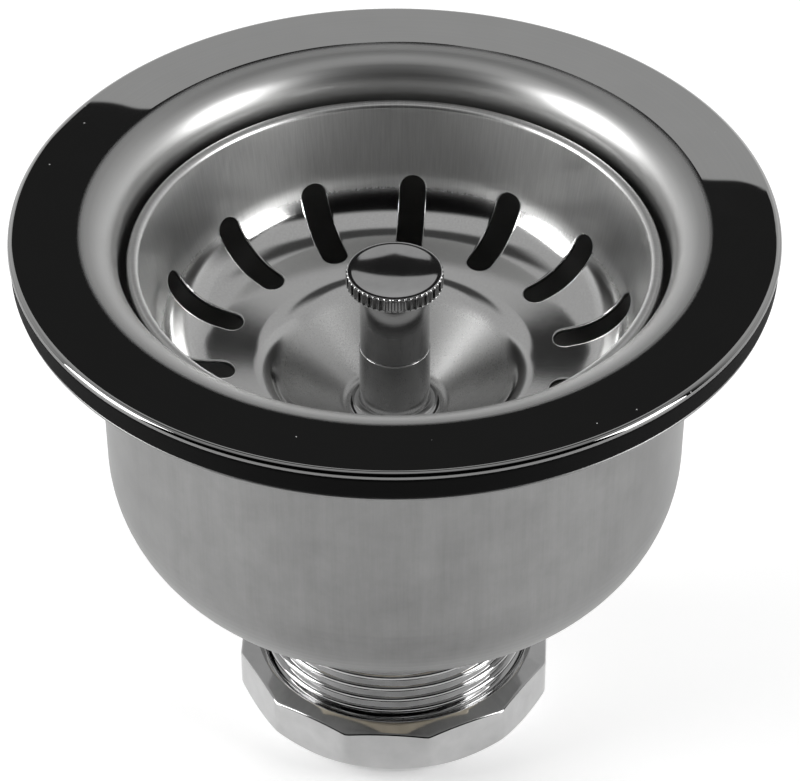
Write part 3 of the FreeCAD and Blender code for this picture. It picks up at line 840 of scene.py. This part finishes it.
def coupling_nut_section(reach):
    corners = [
        (NUT_BORE, NUT_TOP - 0.5),
        (NUT_BORE + 0.45, NUT_TOP, 0.15),
        (NUT_FACE, NUT_TOP, 0.5),
        (reach, NUT_TOP - (reach - NUT_FACE) * NUT_BEVEL, 0.45),
        (reach, NUT_FOOT + (reach - NUT_FOOT_FACE) * NUT_TAPER, 0.6),
        (NUT_FOOT_FACE, NUT_FOOT, 0.5),
        (LIP_BORE, NUT_FOOT, 0.3),
        (LIP_BORE, LIP_TOP, 0.2),
        (NUT_BORE, LIP_TOP),
    ]
    return supported(outline(corners, closed=True, arc_step=14.0), closed=True, every=True)


nut_mesh = sided_nut(
    "coupling_nut", coupling_nut_section, NUT_SIDES, NUT_FLATS, NUT_TURN, NUT_CORNER, per_side=20
)
put_in_place("coupling_nut", nut_mesh)

# %% Lock nut and tail washer
LOCK_NUT_SIDES = 8
LOCK_NUT_FLATS = 46.0
LOCK_NUT_CORNER = 1.2
LOCK_NUT_FACE = 22.4
LOCK_NUT_BEVEL = math.tan(math.radians(20))
LOCK_NUT_BORE = SPUD_RADIUS + 0.05
LOCK_NUT_FOOT, LOCK_NUT_TOP = span("lock_nut")[1:]
WASHER_BORE = 16.6


def lock_nut_section(reach):
    bevel = (reach - LOCK_NUT_FACE) * LOCK_NUT_BEVEL
    corners = [
        (LOCK_NUT_BORE, LOCK_NUT_TOP),
        (LOCK_NUT_FACE, LOCK_NUT_TOP, 0.2),
        (reach, LOCK_NUT_TOP - bevel, 0.15),
        (reach, LOCK_NUT_FOOT + bevel, 0.15),
        (LOCK_NUT_FACE, LOCK_NUT_FOOT, 0.2),
        (LOCK_NUT_BORE, LOCK_NUT_FOOT),
    ]
    return supported(outline(corners, closed=True, arc_step=14.0), closed=True, every=True)


def plain_ring(node, bore, edge=0.15):
    """A flat ring with its edges eased."""
    radius, foot, top = span(node)
    corners = [(bore, foot, edge), (radius, foot, edge), (radius, top, edge), (bore, top, edge)]
    section = supported(outline(corners, closed=True, arc_step=30.0), closed=True)
    put_in_place(node, turned(node, section))


lock_nut_mesh = sided_nut(
    "lock_nut", lock_nut_section, LOCK_NUT_SIDES, LOCK_NUT_FLATS, 0.0, LOCK_NUT_CORNER, per_side=30
)
put_in_place("lock_nut", lock_nut_mesh)
plain_ring("tailpiece_washer", WASHER_BORE)

# %% [markdown]
# ## The basket
#
# The basket is the piece with the most forming in it: a curled rim, a wall that bends into a shallow
# pan, one soft roll down into a cone, a flat seat for the post, and fourteen slots that run
# round the bend. A boolean would leave ragged shading round each slot. Here one sector is woven:
# rings of faces run from the slot's edge out to the border of the sector, so the metal flows
# round the slot. Geometry Nodes then set the sectors round the axis and merge their borders.

# %% Section of the basket
BASKET_SHEET = 0.7
STEM_HOLE = 3.05
ROLL_RADIUS = 19.9
ROLL_DROP = 20.0
basket_face = supported(
    outline(
        [
            (RIM_RADIUS, RIM_TOP - 1.7 + BASKET_SHEET / 2),
            (RIM_RADIUS, RIM_TOP, 0.85),
            (RIM_RADIUS - 1.8, RIM_TOP, 0.85),
            (RIM_RADIUS - 4.9, RIM_TOP - 18.0, 9.5),
            (ROLL_RADIUS, RIM_TOP - ROLL_DROP, 6.0),
            (SLEEVE_FOOT_RADIUS + 1.0, BASKET_FLOOR, 2.0),
            (STEM_HOLE + BASKET_SHEET / 2, BASKET_FLOOR),
        ],
        arc_step=4.0,
    )
)
face_ahead = headings(basket_face)
face_back = np.stack([-face_ahead[:, 1], face_ahead[:, 0]], axis=1)
face_run = np.concatenate([[0.0], np.cumsum(np.hypot(*np.diff(basket_face, axis=0).T))])


def sheet_place(run, depth):
    """Radius and height at a distance along the basket's section and a depth into its sheet."""
    columns = [
        np.interp(run, face_run, basket_face[:, k]) + depth * np.interp(run, face_run, face_back[:, k])
        for k in range(2)
    ]
    return np.stack(columns, axis=-1)


def run_at_radius(radius):
    """Distance along the section to a radius inside the rim."""
    return np.interp(-radius, -basket_face[:, 0], face_run)


print(f"basket section: {face_run[-1]:.1f} mm from lip to hole")

# %% One sector, woven round its slot
SLOTS = 14
SLOT_TURN = 8.2
SLOT_WIDTH = 4.0
SLOT_TOP_RADIUS = 36.05
SLOT_FOOT_RADIUS = 24.5
SLOT_TOP = run_at_radius(SLOT_TOP_RADIUS)
SLOT_FOOT = run_at_radius(SLOT_FOOT_RADIUS)
EDGE_ROUND = 0.16
BAND_TOP = SLOT_TOP - 1.3
BAND_FOOT = SLOT_FOOT + 1.1
SECTOR_HALF = math.pi / SLOTS
SECTOR_STEPS = 16
BAND_STEPS = 24
RING_STEPS = 8
sector_angles = np.linspace(-SECTOR_HALF, SECTOR_HALF, SECTOR_STEPS + 1)
band_rows = np.linspace(BAND_TOP, BAND_FOOT, BAND_STEPS + 1)

border = np.array(
    [(angle, BAND_TOP) for angle in sector_angles[:-1]]
    + [(SECTOR_HALF, run) for run in band_rows[:-1]]
    + [(angle, BAND_FOOT) for angle in sector_angles[:0:-1]]
    + [(-SECTOR_HALF, run) for run in band_rows[:0:-1]]
)


def slot_edge(wider):
    """Points (angle, run) on the slot's edge, one for each point of the border."""
    along = border[:, 1]
    across = border[:, 0] * sheet_place(along, 0)[:, 0]
    middle = np.clip(along, SLOT_TOP + SLOT_WIDTH / 2, SLOT_FOOT - SLOT_WIDTH / 2)
    reach = (SLOT_WIDTH / 2 + wider) / np.hypot(along - middle, across)
    edge_run = middle + (along - middle) * reach
    edge_angle = across * reach / sheet_place(edge_run, 0)[:, 0]
    return np.stack([edge_angle, edge_run], axis=1)


def on_sheet(points, depth):
    """Places in metres of points (angle, run) at a depth into the sheet."""
    section = sheet_place(points[:, 1], depth) * MM
    radius, height = section[:, 0], section[:, 1]
    return np.stack([radius * np.cos(points[:, 0]), radius * np.sin(points[:, 0]), height], axis=1)


shares = np.linspace(0, 1, RING_STEPS + 1) ** 1.5
rim_of_slot = slot_edge(EDGE_ROUND)
rings = [rim_of_slot + (border - rim_of_slot) * share for share in shares]
bevel = EDGE_ROUND * (1 - math.sqrt(0.5))
through = [
    (bevel, bevel),
    (0.0, EDGE_ROUND),
    (0.0, BASKET_SHEET - EDGE_ROUND),
    (bevel, BASKET_SHEET - bevel),
]
woven = [on_sheet(ring, 0.0) for ring in rings[::-1]]
woven += [on_sheet(slot_edge(wider), depth) for wider, depth in through]
woven += [on_sheet(ring, BASKET_SHEET) for ring in rings]

upper_runs = np.append(face_run[face_run < BAND_TOP], BAND_TOP)
lower_runs = np.insert(face_run[face_run > BAND_FOOT], 0, BAND_FOOT)
lip = cut_edge(sheet_place(0.0, BASKET_SHEET), -face_back[0] * BASKET_SHEET, -face_ahead[0])
hole = cut_edge(basket_face[-1], face_back[-1] * BASKET_SHEET, face_ahead[-1])
rim_back = sheet_place(upper_runs[::-1], BASKET_SHEET)
floor_back = sheet_place(lower_runs[::-1], BASKET_SHEET)
over_rim = np.vstack([rim_back, lip, sheet_place(upper_runs, 0.0)])
over_floor = np.vstack([sheet_place(lower_runs, 0.0), hole, floor_back])

sector = Stock()
sector.grid(np.stack(woven), wrap_columns=True)
sector.grid(spin(over_rim, sector_angles))
sector.grid(spin(over_floor, sector_angles))
print(f"one sector: {len(sector.faces)} faces")


# %% Sectors round the axis
def sectors_rule():
    tree, given, leave = new_rule("sectors", {"Count": "Int", "Turn": "Float", "Finish": "Material"})
    start = given["Count"]
    points = start.node("GeometryNodePoints", None, {"Count": given["Count"]})
    angle = start.node("GeometryNodeInputIndex") * (math.tau / start) + given["Turn"]
    zero = angle * 0.0
    sockets = {"Points": points, "Instance": given["Geometry"], "Rotation": zero.vector(0.0, angle)}
    copies = start.node("GeometryNodeInstanceOnPoints", None, sockets)
    joined = start.node("GeometryNodeRealizeInstances", None, {"Geometry": copies})
    merged = start.node("GeometryNodeMergeByDistance", None, {"Geometry": joined, "Distance": 1e-6})
    end_rule(merged, given["Finish"], leave)
    return tree


basket_sizes = {"Count": SLOTS, "Turn": math.radians(SLOT_TURN), "Finish": MATERIALS["basket_steel"]}
basket_mesh = bake_rule(sectors_rule(), sector.mesh("basket_shell"), basket_sizes)
put_in_place("basket_shell", close_up(basket_mesh, MATERIALS["basket_steel"]))

# %% [markdown]
# ## Post and knob
#
# A turned sleeve with a flared foot stands on the basket's floor, and the knob's shank is screwed
# down on it, which leaves a fine seam between the two. The knob's head is slightly dished on top
# and knurled round its side. The knurl is a rule again: a triangle wave in the angle, pressed into
# the band between two heights.

# %% Post sleeve
SLEEVE_RADIUS = 5.4
SLEEVE_SEGMENTS = 128
sleeve_section = outline(
    [
        (STEM_HOLE, BASKET_FLOOR),
        (SLEEVE_FOOT_RADIUS, BASKET_FLOOR, 0.15),
        (SLEEVE_FOOT_RADIUS, BASKET_FLOOR + 0.5, 0.2),
        (SLEEVE_RADIUS, BASKET_FLOOR + 0.5, 1.2),
        (SLEEVE_RADIUS, SLEEVE_TOP, 0.2),
        (STEM_HOLE, SLEEVE_TOP),
    ],
    closed=True,
)
sleeve_mesh = turned("post_sleeve", supported(sleeve_section, closed=True), SLEEVE_SEGMENTS)
put_in_place("post_sleeve", sleeve_mesh)

# %% Knurl rule
KNURL_TEETH = 48
KNURL_DEPTH = 0.32
STEPS_PER_TOOTH = 8


def knurl_rule():
    sizes = {"Teeth": "Float", "Depth": "Float", "Wall": "Float", "Foot": "Float", "Top": "Float"}
    tree, given, leave = new_rule("knurl", {**sizes, "Finish": "Material"})
    outward, radius, angle, height = round_the_axis(given["Geometry"])
    turns = angle / math.tau * given["Teeth"]
    swing = turns.maths("FRACT", turns) * 2 - 1
    groove = swing.maths("ABSOLUTE", swing)
    band = (height > given["Foot"]) * (given["Top"] > height)
    depth = groove * given["Depth"] * band * (radius > given["Wall"])
    end_rule(press_in(given["Geometry"], outward, depth), given["Finish"], leave)
    return tree


knurl = knurl_rule()
print(f"knurl rule: {len(knurl.nodes)} nodes")

# %% Knob
SHANK_RADIUS = 5.3
DISH_DEPTH = 0.45
DISH_RADIUS = HEAD_RADIUS - 0.85
STEM_TOP = span("stem")[2]
head_foot = KNOB_TOP - HEAD_HEIGHT
dish = [
    (share * DISH_RADIUS, KNOB_TOP - DISH_DEPTH * (1 - share**2))
    for share in np.linspace(0, 1, 12)[:-1]
]
knob_section = outline(
    [
        *dish,
        (DISH_RADIUS, KNOB_TOP, 0.5),
        (HEAD_RADIUS, KNOB_TOP, 0.4),
        (HEAD_RADIUS, head_foot, 0.25),
        (SHANK_RADIUS, head_foot, 0.2),
        (SHANK_RADIUS, KNOB_FOOT, 0.2),
        (STEM_HOLE, KNOB_FOOT),
        (STEM_HOLE, STEM_TOP + 0.3),
        (0.0, STEM_TOP + 0.3),
    ],
)
knurl_sizes = {
    "Teeth": float(KNURL_TEETH),
    "Depth": KNURL_DEPTH * MM,
    "Wall": (HEAD_RADIUS - 0.3) * MM,
    "Foot": (head_foot + 0.02) * MM,
    "Top": (KNOB_TOP - 0.05) * MM,
    "Finish": MATERIALS["chrome_plate"],
}
knob_blank = turned("knob", supported(knob_section), KNURL_TEETH * STEPS_PER_TOOTH)
knob_mesh = bake_rule(knurl, knob_blank, knurl_sizes)
put_in_place("knob", close_up(knob_mesh, MATERIALS["chrome_plate"]))

# %% [markdown]
# ## Stem and stopper
#
# Under the basket a turned stem carries the stopper: a plate, the rubber seal, a washer and a nut.
# They show when the basket is lifted out. The stem's collar holds the basket up off the stopper,
# and a groove near its end takes the spring catch.

# %% Stem
STEM_RADIUS = 3.0
COLLAR_RADIUS = 5.0
STEM_SEGMENTS = 96
STEM_END = span("stem")[1]
CATCH_FOOT, CATCH_TOP = span("spring_catch")[1:]
PLATE_TOP = span("stopper_plate")[2]
GROOVE_RADIUS = 2.4
stem_section = outline(
    [
        (0.0, STEM_END),
        (1.6, STEM_END, 0.3),
        (STEM_RADIUS, STEM_END + 2.4, 0.4),
        (STEM_RADIUS, CATCH_FOOT, 0.1),
        (GROOVE_RADIUS, CATCH_FOOT),
        (GROOVE_RADIUS, CATCH_TOP),
        (STEM_RADIUS, CATCH_TOP, 0.1),
        (STEM_RADIUS, PLATE_TOP),
        (COLLAR_RADIUS, PLATE_TOP, 0.2),
        (COLLAR_RADIUS, BASKET_UNDER, 0.2),
        (STEM_RADIUS, BASKET_UNDER),
        (STEM_RADIUS, STEM_TOP, 0.2),
        (0.0, STEM_TOP),
    ],
)
put_in_place("stem", turned("stem", supported(stem_section), STEM_SEGMENTS))

# %% Stopper
SEAL_RADIUS, SEAL_FOOT, SEAL_TOP = span("stopper_seal")
PLATE_RADIUS = span("stopper_plate")[0]
seal_section = outline(
    [
        (STEM_HOLE, SEAL_FOOT),
        (SEAL_RADIUS, SEAL_FOOT, 0.3),
        (SEAL_RADIUS, SEAL_FOOT + 1.4, 0.3),
        (PLATE_RADIUS, SEAL_TOP, 0.5),
        (STEM_HOLE, SEAL_TOP),
    ],
    closed=True,
)
put_in_place("stopper_seal", turned("stopper_seal", supported(seal_section, closed=True)))
plain_ring("stopper_plate", STEM_HOLE)
plain_ring("stopper_washer", STEM_HOLE)

STEM_NUT_FOOT, STEM_NUT_TOP = span("stem_nut")[1:]
STEM_NUT_SIDES = 6
STEM_NUT_FLATS = 10.0
STEM_NUT_CORNER = 0.3


def stem_nut_section(reach):
    ease = max(reach - STEM_NUT_FLATS / 2, 0.0) * 0.6 + 0.12
    corners = [
        (STEM_HOLE, STEM_NUT_FOOT),
        (STEM_NUT_FLATS / 2 - 0.2, STEM_NUT_FOOT, 0.08),
        (reach, STEM_NUT_FOOT + ease, 0.08),
        (reach, STEM_NUT_TOP, 0.08),
        (STEM_HOLE, STEM_NUT_TOP),
    ]
    return supported(outline(corners, closed=True, arc_step=90.0), closed=True, every=True)


stem_nut_mesh = sided_nut(
    "stem_nut", stem_nut_section, STEM_NUT_SIDES, STEM_NUT_FLATS, 0.0, STEM_NUT_CORNER, per_side=16
)
put_in_place("stem_nut", stem_nut_mesh)

# %% [markdown]
# ## Cross bar and catch
#
# The flat cross in the outlet and the split spring ring have their true shape in the frame already,
# so they stay as they are and only get their finish.

# %% Finishes on the pieces that stay
for node in ("cross_bar", "spring_catch"):
    kept = frame["nodes"][node]
    kept.data.materials.clear()
    kept.data.materials.append(MATERIALS[SLOT_OF[node]])
    print(f"{node}: kept, with {SLOT_OF[node]}")

# %% [markdown]
# ## Floor
#
# The waste stands on its coupling nut on a pale floor, large enough to fill the picture and to be
# seen in the polished metal. A floor lit by lamps alone would need them overhead, where the basket
# would mirror them, so it glows a little by itself. In a soft spot in front of the nut the glow
# fades, a painted shadow, or the nut would mirror plain white and be lost against it.


# %% Pale floor
FLOOR_REACH = 2.5
FLOOR_GLOW = 0.5
SHADOW_SPOT_AHEAD = 62.0
SHADOW_SPOT_CORE = 18.0
SHADOW_SPOT_GLOW = 0.25


def pale_floor():
    finish = Finish("pale_floor", (0.82, 0.82, 0.82), 0.6, 0.0)
    finish.set("Emission Strength", FLOOR_GLOW)
    # Painted shadow: the floor's glow is dimmed in a soft spot in front of the nut.
    ahead = finish.y + SHADOW_SPOT_AHEAD
    away = (finish.x * finish.x + ahead * ahead).root()
    glow = away.ease(SHADOW_SPOT_CORE, SHADOW_SPOT_AHEAD, SHADOW_SPOT_GLOW, 1.0)
    glow.feed(finish.shader.inputs["Emission Color"])
    cloud = finish.place.noise(0.01, 3.0)
    finish.blend(cloud, (0.80, 0.80, 0.80), (0.85, 0.85, 0.85))
    finish.rough(0.55 + cloud * 0.1)
    finish.keep()


pale_floor()
floor_stock = Stock()
floor_line = np.linspace(-FLOOR_REACH, FLOOR_REACH, 9)
across, along = np.meshgrid(floor_line, floor_line)
floor_stock.grid(np.stack([across, along, np.full_like(across, NUT_FOOT * MM)], axis=2))
floor = bpy.data.objects.new("floor", floor_stock.mesh("floor"))
floor.data.materials.append(MATERIALS["pale_floor"])
scene.collection.objects.link(floor)

# %% [markdown]
# ## Light
#
# Polished metal shows its surroundings more than its own colour, so the studio is made of what the
# metal should mirror. It could be built from panels, but a world that depends on direction alone
# does the same, with X to the right, Y away from the camera and Z up. A grey wall stands behind the
# object and ends in a sharp, slightly sloping top edge. A dark gable rises from its middle. Overhead
# is a grey dome with a shaded strip across it, and in front it is dark. The flange mirrors the edge
# of the wall, which splits it into a grey part at the back and a black part in front, and the knob's
# dished top shows the gable. Two strong soft boxes at the sides light the basket and the shoulder.

# %% Studio
WALL_TOP = math.sin(math.radians(35.6))
WALL_GREY = 0.48
WALL_GLOW = 0.35
WALL_ENDS = 0.1
DOME_GREY = 0.5
GABLE_GREY = 0.018
DARK_GREY = 0.004
WALL_SLOPE = 0.11
EDGE_BLUR = 0.0008
GABLE_BLUR = 0.004


def studio_world():
    world = bpy.data.worlds.new("studio")
    world.use_nodes = True
    tree = world.node_tree
    coordinates = tree.nodes.new("ShaderNodeTexCoord")
    direction = Signal(tree, coordinates.outputs["Object"])
    x = direction.node("ShaderNodeSeparateXYZ", None, {0: direction})
    y = x.also(1)
    z = x.also(2)
    aside = x.maths("ABSOLUTE", x)
    above = (z - x * WALL_SLOPE).ease(WALL_TOP - EDGE_BLUR, WALL_TOP + EDGE_BLUR)
    gable = above * (y * 1.13 - aside * 0.95 - z).ease(-GABLE_BLUR, GABLE_BLUR)
    lean = y / (above * z + 0.01)
    strip = lean.ease(0.1, 0.22) * lean.ease(0.46, 0.62, 1.0, 0.0)
    shade = strip * aside.ease(0.35, 0.6, 0.88, 0.0)
    dome = lean.ease(-0.55, -0.4) * (1 - shade) * DOME_GREY
    glow = z.ease(0.2, 0.5, WALL_GLOW, 0.0) + aside.ease(0.15, 0.55, 0.0, WALL_ENDS)
    wall = y.ease(-0.1, 0.3) * (glow + WALL_GREY)
    light = above * (1 - gable) * dome + gable * GABLE_GREY + (1 - above) * wall + DARK_GREY
    light.feed(tree.nodes["Background"].inputs["Strength"])
    tree.nodes["Background"].inputs["Color"].default_value = (1.0, 1.0, 1.0, 1.0)
    scene.world = world


def soft_box(name, place, width, height, power):
    """A lit panel that faces the object."""
    lamp = bpy.data.lights.new(name, "AREA")
    lamp.shape = "RECTANGLE"
    lamp.size = width
    lamp.size_y = height
    lamp.energy = power
    box = bpy.data.objects.new(name, lamp)
    box.location = place
    box.rotation_euler = (-Vector(place)).to_track_quat("-Z", "Y").to_euler()
    scene.collection.objects.link(box)
    print(f"{name}: {width} by {height} m, {power} W")


studio_world()
soft_box("left_box", (-0.92, -0.12, 0.34), 0.5, 0.62, 8.0)
soft_box("right_box", (0.87, -0.30, 0.34), 0.36, 0.62, 6.5)

# %% [markdown]
# ## Camera
#
# The camera stands a little over half a metre away and looks down, at a point somewhat lower than
# the middle of the flange.
# Its distance, height and focal length come from the shape of the flange's ellipse and the spacing
# of the thread's rings in the picture.

# %% Camera
IMAGE_WIDTH = 800
FOCAL_PIXELS = 3785.1
SENSOR = 36.0
CAMERA_DISTANCE = 0.560
CAMERA_HEIGHT_ANGLE = math.radians(36.97)
AIM_BELOW = math.radians(2.55)
AIM_RIGHT = math.radians(0.078)

camera_data = bpy.data.cameras.new("camera")
camera_data.sensor_width = SENSOR
camera_data.sensor_fit = "HORIZONTAL"
camera_data.lens = FOCAL_PIXELS * SENSOR / IMAGE_WIDTH
camera = bpy.data.objects.new("camera", camera_data)
look_down = CAMERA_HEIGHT_ANGLE + AIM_BELOW
aim = Vector((math.sin(AIM_RIGHT), math.cos(AIM_RIGHT) * math.cos(look_down), -math.sin(look_down)))
stand_back = CAMERA_DISTANCE * math.cos(CAMERA_HEIGHT_ANGLE)
stand_up = CAMERA_DISTANCE * math.sin(CAMERA_HEIGHT_ANGLE) + FLANGE_TOP * MM
camera.location = (0.0, -stand_back, stand_up)
camera.rotation_euler = aim.to_track_quat("-Z", "Y").to_euler()
scene.collection.objects.link(camera)
scene.camera = camera
scene.view_settings.view_transform = "Standard"
print(f"lens {camera_data.lens:.1f} mm")
